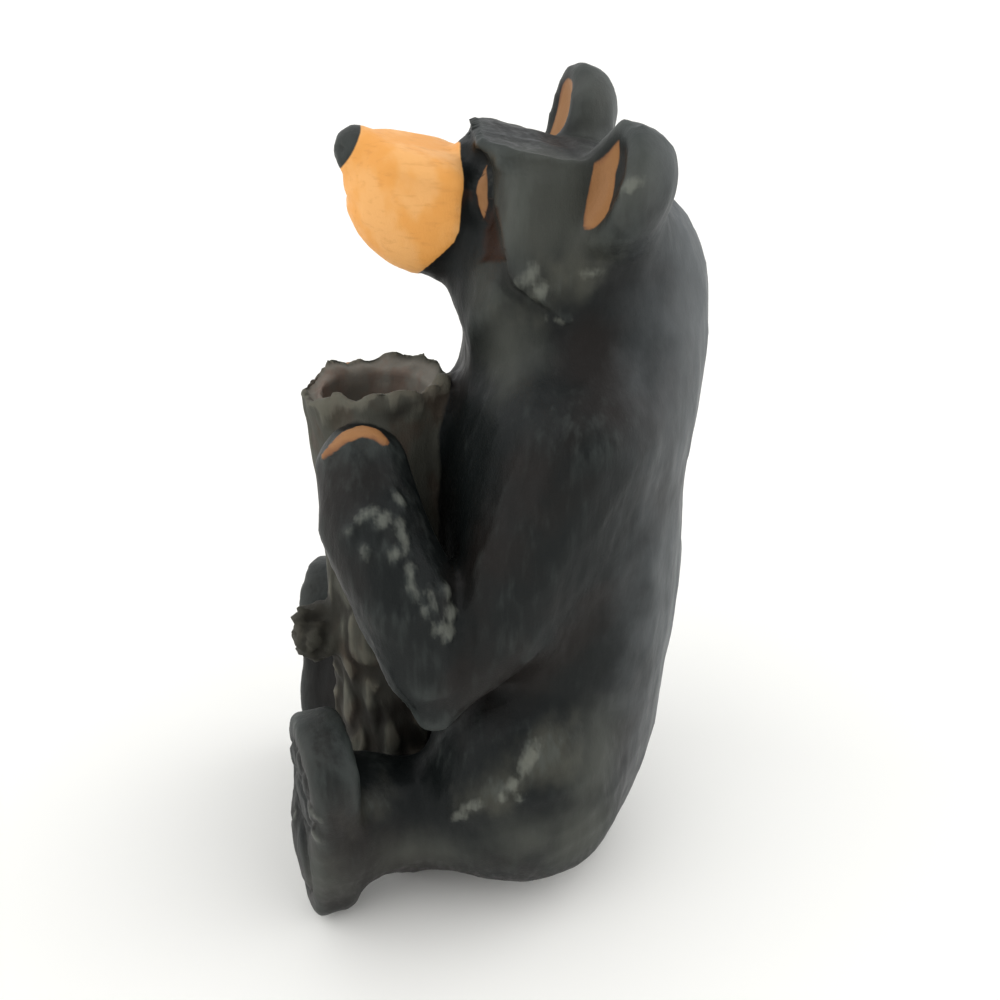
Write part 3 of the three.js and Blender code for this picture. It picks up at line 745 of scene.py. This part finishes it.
ear = np.where(points[:, 0] > 0, np.minimum(ear, left_edge), ear)
claw = capsule(paired(points), *claw_stations)
tan_points = [int((border > 0).sum()) for border in (muzzle, -eye, ear, -claw)]
print("tan points on muzzle, eyes, ears and claws:", tan_points)

# %% Keep the notes on the skin
NOTES = {
    "tan": np.maximum(np.maximum(muzzle, -eye), np.maximum(ear, -claw)),
    "small_tan": np.maximum(np.maximum(-eye, ear), -claw),
    "wood": -wood,
    "crack": crack,
    "clump": -clump_edge,
    "worn": -measure_marks(worn_and_lit_places),
    "painted_light": -measure_marks(painted_light_places),
    "back": points[:, 1],
    "painted_shade": -measure_marks(painted_shade_places),
    "proud": proud,
    "edge": edge,
    "hollow": measure_hollow(cheek),
    "eye_line": EYE_LINE_HALF_WIDTH - np.abs(eye - EYE_LINE_AT),
    "inside": np.where(height > INSIDE_FROM, BORE_RADIUS + INSIDE_MARGIN - axis_distance, -FAR),
    "stub": -stub,
}
for name, values in NOTES.items():
    skin.attributes.new(name, "FLOAT", "POINT").data.foreach_set("value", values.astype(np.float32))
print("notes kept:", ", ".join(NOTES))

# %% [markdown]
# ## Paint
#
# Hand-brushed acrylic over cast resin is a thin plastic film: not metal, an IOR near 1.5, and a
# dull satin sheen that breaks up where the brush dragged. One material holds all the paint, because
# it is one film: two materials would need a seam in the net. The layers go on in this order: black
# over everything, painted shade in dark brown in the eye hollows and in black in dark recesses, a grey
# dry brush over ridges and clumps, pale patches of painted light, bark browns on the log, and tan last,
# on the muzzle, eyes, ears and claws, darker on the small parts as painted shade.


# %% Two helpers for nodes and colours
def linear(code):
    """Turns an sRGB hex colour into the linear values that Blender mixes."""
    channels = [int(code[i:i + 2], 16) / 255 for i in (1, 3, 5)]
    return (*[c / 12.92 if c <= 0.04045 else ((c + 0.055) / 1.055) ** 2.4 for c in channels], 1)


def add(kind, inputs, output=0, **settings):
    """Adds a node with its settings, sets or links its inputs, and gives one of its outputs."""
    node = graph.nodes.new(kind)
    for name, value in settings.items():
        setattr(node, name, value)
    for key, value in inputs.items():
        if isinstance(value, bpy.types.NodeSocket):
            graph.links.new(value, node.inputs[key])
        else:
            node.inputs[key].default_value = value
    return node.outputs[output] if node.outputs else None


print("a mid grey of #808080 is", round(linear("#808080")[0], 3), "in linear light")

# %% Start the material and read the notes
material = bpy.data.materials.new("acrylic_paint_on_cast_resin")
material.use_nodes = True
graph = material.node_tree
graph.nodes.clear()
where = add("ShaderNodeTexCoord", {}, "Object")
notes = {name: add("ShaderNodeAttribute", {}, "Fac", attribute_name=name) for name in NOTES}
print("notes read by the material:", len(notes))

# %% [markdown]
# ## Brush, rag and bristle
#
# Paint put on by hand is never even: it clouds over a thumb's breadth, blotches where a rag wiped it
# and streaks along the brush. Each of these is a noise of a real size. The finest, the pores of the
# film, are coarser than real ones, so that they still show.

# %% Make the noises that break up the paint
PATTERNS = {
    # size of a blotch in millimetres, octaves, and its scale along x, y and z: small is drawn out
    "clouds": (26.0, 3.0, (1, 1, 1)),
    "patches": (7.0, 3.0, (1, 1, 0.7)),
    "streaks": (1.6, 4.0, (1, 1, 0.18)),
    "strands": (0.9, 4.0, (1, 1, 0.4)),
    "dabs": (2.4, 2.0, (1, 1, 1)),
    "bristles": (1.0, 3.0, (1, 0.25, 1)),
    "pores": (0.35, 2.0, (1, 1, 1)),
}
patterns = {}
for name, (size_mm, octaves, stretch) in PATTERNS.items():
    place = add("ShaderNodeMapping", {"Vector": where, "Scale": stretch}, "Vector")
    blotches = {"Vector": place, "Scale": 1 / (size_mm * MM), "Detail": octaves}
    patterns[name] = add("ShaderNodeTexNoise", blotches)
print("noises:", ", ".join(patterns))

# %% [markdown]
# ## Coats of paint
#
# A coat of paint covers where a note, roughened by a noise, rises past a value. So every coat is one
# line: its colour, the note, the noise and how much of it, where the coat starts and is full, and
# how much it hides what lies below. A long chain of nodes drawn by hand would say the same but could
# hardly be read. The loop turns each line into three nodes. The noise lies around one half, so half
# of its share is added to the two limits as well.

# %% Choose the colours
# The hollow's brown is painted shade in the wedge beside each eye.
BLACK, WARM_BLACK, HOLLOW_SHADE_BROWN = linear("#101414"), linear("#191614"), linear("#2a1a12")
# Of these greys, the worn grey is partly rubbed paint and partly painted light.
DRY_GREY, WORN_AND_LIT_GREY, TUFT_GREY = linear("#565c59"), linear("#626155"), linear("#a3a69a")
# Both pale greys here are painted light: one on pale patches, one towards the lit back.
PAINTED_LIGHT_GREY, BACK_PAINTED_LIGHT = linear("#62645c"), linear("#74787a")
BARK, BARK_BROWN = linear("#46463f"), linear("#43382f")
BARK_LIGHT, BARK_CRACK = linear("#7c796c"), linear("#1d1a17")
SOCKET_GREY, SOCKET_RED = linear("#716d65"), linear("#6d5347")
# The stub's dark is painted shade on the branch stub.
STUB_GREEN, STUB_SHADE = linear("#3e3d33"), linear("#2f2e28")
TAN, TAN_LIGHT, TAN_DEEP = linear("#eaa455"), linear("#efb26d"), linear("#cf8c4a")
# These two browns are painted shade: the small tan parts darker than the muzzle.
SMALL_TAN_SHADE_EDGE, SMALL_TAN_SHADE = linear("#7d5438"), linear("#a0744a")
print("black reflects", round(BLACK[1] * 100, 1), "% and tan", round(TAN[1] * 100, 1), "% of green light")

# %% List the coats
COAT = [
    # colour, note, noise, share of the noise, starts at, full at, cover
    (WARM_BLACK, None, "clouds", 1.0, -0.08, 0.12, 1.0),
    (DRY_GREY, "proud", "streaks", 0.9, 0.08, 0.5, 0.12),
    (DRY_GREY, "edge", "streaks", 1.2, 0.5, 1.6, 0.25),
    # Painted light: pale patches where the coat faces the light or the bright floor.
    (PAINTED_LIGHT_GREY, "painted_light", "patches", 9.0, -7.0, 6.0, 0.4),
    # Painted light: the coat turns paler towards the back, which faces the light.
    (BACK_PAINTED_LIGHT, "back", "patches", 14.0, 18.0, 50.0, 0.75),
    # Partly rubbed paint and partly painted light, on the haunch's top and at the ankle.
    (WORN_AND_LIT_GREY, "worn", "patches", 12.0, -4.0, 4.0, 0.35),
    (DRY_GREY, "worn", "streaks", 9.0, 0.0, 5.0, 0.3),
    (TUFT_GREY, "clump", "strands", 1.8, -0.5, 1.2, 0.24),
    # Painted shade: dark brown in the wedge beside each eye.
    (HOLLOW_SHADE_BROWN, "hollow", "dabs", 0.6, -0.5, 0.7, 0.95),
    (BLACK, "eye_line", "dabs", 0.2, 0.0, 0.5, 0.9),
    # Painted shade: black where shade falls in recesses and under the forearm.
    (BLACK, "painted_shade", "patches", 2.0, -1.5, 1.0, 0.9),
]
BARK_COATS = [
    (BARK_BROWN, None, "patches", 1.0, -0.05, 0.14, 0.7),
    (STUB_GREEN, None, "clouds", 1.0, 0.0, 0.1, 0.5),
    (BARK_LIGHT, "proud", "streaks", 1.2, 0.1, 0.6, 0.35),
    (BARK_CRACK, "crack", "strands", 0.3, 0.15, 0.75, 0.7),
    # Painted shade: the whole branch stub darkened.
    (STUB_SHADE, "stub", "dabs", 2.0, -1.5, 0.5, 0.75),
    # Painted shade: near black on the bark under the rim and low down by the foot and forearm.
    (BARK_CRACK, "painted_shade", "patches", 2.0, -2.0, 1.0, 0.85),
    (SOCKET_GREY, "inside", "dabs", 0.6, -0.6, 0.6, 1.0),
    (SOCKET_RED, "inside", "patches", 12.0, 1.0, 3.0, 0.45),
]
TAN_COATS = [
    (TAN_LIGHT, None, "patches", 1.0, -0.1, 0.12, 1.0),
    (TAN_DEEP, None, "bristles", 1.0, 0.02, 0.25, 0.35),
    # Painted shade: eyes, ears and claws in a darker tan than the muzzle, browner at their edges.
    (SMALL_TAN_SHADE_EDGE, "small_tan", "dabs", 0.2, -0.6, -0.4, 1.0),
    (SMALL_TAN_SHADE, "small_tan", "patches", 2.0, -0.4, 0.6, 0.8),
]
print(len(COAT), "coats on the fur,", len(BARK_COATS), "on the bark and", len(TAN_COATS), "on the tan parts")


# %% Lay the coats
def lay(ground, coats):
    """Lays coats of paint over a ground colour, one after the other."""
    for colour, note, pattern, share, start, full, cover in coats:
        base = notes[note] if note else 0.0
        level = add("ShaderNodeMath", {0: patterns[pattern], 1: share, 2: base}, operation="MULTIPLY_ADD")
        limits = {"Value": level, "From Min": start + share / 2, "From Max": full + share / 2}
        limits["To Max"] = cover
        hides = add("ShaderNodeMapRange", limits, "Result", interpolation_type="SMOOTHSTEP")
        ground = add("ShaderNodeMix", {"Factor": hides, "A": ground, "B": colour}, "Result", data_type="RGBA")
    return ground


coat_colour = lay(BLACK, COAT)
bark_colour = lay(BARK, BARK_COATS)
tan_colour = lay(TAN, TAN_COATS)
print("coats laid; the material has", len(graph.nodes), "nodes so far")

# %% [markdown]
# ## Where each ground shows
#
# Log, coat and tan meet in brushed borders. A little noise makes the border waver by a few tenths
# of a millimetre, as a small brush does. Each border is a mask from 0 to 1, and the same masks
# will choose the gloss.

# %% Draw the borders and choose the ground
# How far each border wavers and how soft it is, in millimetres.
BORDERS = {"wood": (0.8, 0.4), "tan": (0.3, 0.12)}

borders = {}
for name, (waver, soft) in BORDERS.items():
    dabbed = {0: patterns["dabs"], 1: waver, 2: notes[name]}
    wavering = add("ShaderNodeMath", dabbed, operation="MULTIPLY_ADD")
    limits = {"Value": wavering, "From Min": waver / 2 - soft, "From Max": waver / 2 + soft}
    borders[name] = add("ShaderNodeMapRange", limits, "Result")
bark_in = {"Factor": borders["wood"], "A": coat_colour, "B": bark_colour}
colour = add("ShaderNodeMix", bark_in, "Result", data_type="RGBA")
tan_in = {"Factor": borders["tan"], "A": colour, "B": tan_colour}
colour = add("ShaderNodeMix", tan_in, "Result", data_type="RGBA")
print("borders drawn:", ", ".join(borders))

# %% [markdown]
# ## Gloss and brush marks
#
# Acrylic paint has an IOR near 1.49. The bark is duller than the coat, and the coat shines more where
# the brush dragged it smooth, so the roughness follows the same streaks. The photograph's deep blacks
# show that the paint is nearly black and hardly shines, so the specular level is under half of
# Blender's usual value. What one sees on the coat is mostly the pale room and floor in that thin
# sheen. Bristle marks are far too fine for the net and go in as bumps.

# %% Put colour, gloss and brush marks together
ACRYLIC_IOR, ACRYLIC_SHEEN = 1.49, 0.2
SATIN_LOW, SATIN_HIGH, BARK_ROUGHNESS, TAN_ROUGHNESS = 0.42, 0.6, 0.75, 0.52
MARK_DEPTH_MM, MARK_STRENGTH, PORES_SHARE = 0.18, 0.55, 0.5

streaks = patterns["streaks"]
satin = {"Value": streaks, "From Min": 0.3, "From Max": 0.7, "To Min": SATIN_LOW, "To Max": SATIN_HIGH}
dull = add("ShaderNodeMapRange", satin, "Result")
for name, roughness in (("wood", BARK_ROUGHNESS), ("tan", TAN_ROUGHNESS)):
    duller = {"Factor": borders[name], "A": dull, "B": roughness}
    dull = add("ShaderNodeMix", duller, "Result", data_type="FLOAT")
pores = {0: patterns["pores"], 1: PORES_SHARE, 2: patterns["strands"]}
marks = add("ShaderNodeMath", pores, operation="MULTIPLY_ADD")
depth_of_marks = {"Height": marks, "Distance": MARK_DEPTH_MM * MM, "Strength": MARK_STRENGTH}
bumps = add("ShaderNodeBump", depth_of_marks, "Normal")
film = add("ShaderNodeBsdfPrincipled", {
    "Base Color": colour, "Roughness": dull, "Metallic": 0.0, "IOR": ACRYLIC_IOR,
    "Specular IOR Level": ACRYLIC_SHEEN, "Normal": bumps}, "BSDF")
add("ShaderNodeOutputMaterial", {"Surface": film})
skin.materials.append(material)
print("the material has", len(graph.nodes), "nodes")

# %% [markdown]
# ## The floor
#
# The figure stands on something matt and pale, which throws light up into the black paint and takes
# the soft shadow. A small card would show its edge in some views, so this one is 40 m wide.

# %% Lay the floor
FLOOR_SIZE = 40.0

half = FLOOR_SIZE / 2
corners = [(-half, -half, 0), (half, -half, 0), (half, half, 0), (-half, half, 0)]
floor_mesh = bpy.data.meshes.new("floor")
floor_mesh.from_pydata(corners, [], [(0, 1, 2, 3)])
floor = bpy.data.objects.new("floor", floor_mesh)
bpy.context.scene.collection.objects.link(floor)
pale = bpy.data.materials.new("matt_pale_card")
pale.use_nodes = True
card = pale.node_tree.nodes["Principled BSDF"].inputs
card["Base Color"].default_value = linear("#faf9f5")
card["Roughness"].default_value = 1.0
card["Specular IOR Level"].default_value = 0.0
floor_mesh.materials.append(pale)
print("floor of", FLOOR_SIZE, "m")

# %% [markdown]
# ## Daylight
#
# The shadow in the photograph is soft and wide. Small lamps would draw hard edges, so two suns with
# very wide faces stand for the daylight on the right and for the pale room on the left.

# %% Set the two suns
SUNS = {
    # width in degrees, strength, and the direction that it comes from
    "daylight": (80, 1.1, (0.3, 1.0, 0.8)),
    "room_glow": (70, 1.15, (0.5, -1.0, 0.9)),
}
for name, (width_in_degrees, strength, source) in SUNS.items():
    lamp = bpy.data.lights.new(name, "SUN")
    lamp.energy, lamp.angle = strength, np.radians(width_in_degrees)
    light = bpy.data.objects.new(name, lamp)
    light.rotation_euler = (-Vector(source)).to_track_quat("-Z", "Y").to_euler()
    bpy.context.scene.collection.objects.link(light)
print("suns:", ", ".join(SUNS))

# %% [markdown]
# ## The room
#
# The room is pale, but darker on the photographer's side. So faces that look up at the camera mirror
# little and stay deep black, while upright faces mirror the floor and the back mirrors the far side
# of the room. A picture of a room would do the same with far more than is needed. The dark side only
# lights: seen directly by the camera, the room is white all round.

# %% Light the room
ROOM_STRENGTH, DARK_SIDE_STRENGTH, DARK_SIDE = 1.08, 0.35, (0.9, -0.1, 0.4)

world = bpy.data.worlds.new("room")
world.use_nodes = True
graph = world.node_tree
graph.nodes.clear()
aim = add("ShaderNodeTexCoord", {}, "Generated")
turned = add("ShaderNodeVectorMath", {0: aim, 1: DARK_SIDE}, "Value", operation="DOT_PRODUCT")
shade = {"Value": turned, "To Min": ROOM_STRENGTH, "To Max": DARK_SIDE_STRENGTH}
dimmed = add("ShaderNodeMapRange", shade, "Result")
seen = add("ShaderNodeLightPath", {}, "Is Camera Ray")
shown = add("ShaderNodeMapRange", {"Value": seen, "To Min": dimmed, "To Max": ROOM_STRENGTH}, "Result")
sky = add("ShaderNodeBackground", {"Color": linear("#f6f7f8"), "Strength": shown})
add("ShaderNodeOutputWorld", {"Surface": sky})
bpy.context.scene.world = world
bpy.context.scene.view_settings.view_transform = "Standard"
print("the room has", len(graph.nodes), "nodes")

# %% [markdown]
# ## The finished cast
#
# The painted skin now takes the place of the plain solid, and stands still with it.

# %% Hand the cast over
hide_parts("bear_candle_holder")
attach(cast, "root")
print(cast.name, "has", len(skin.vertices), "points and", len(skin.polygons), "faces")
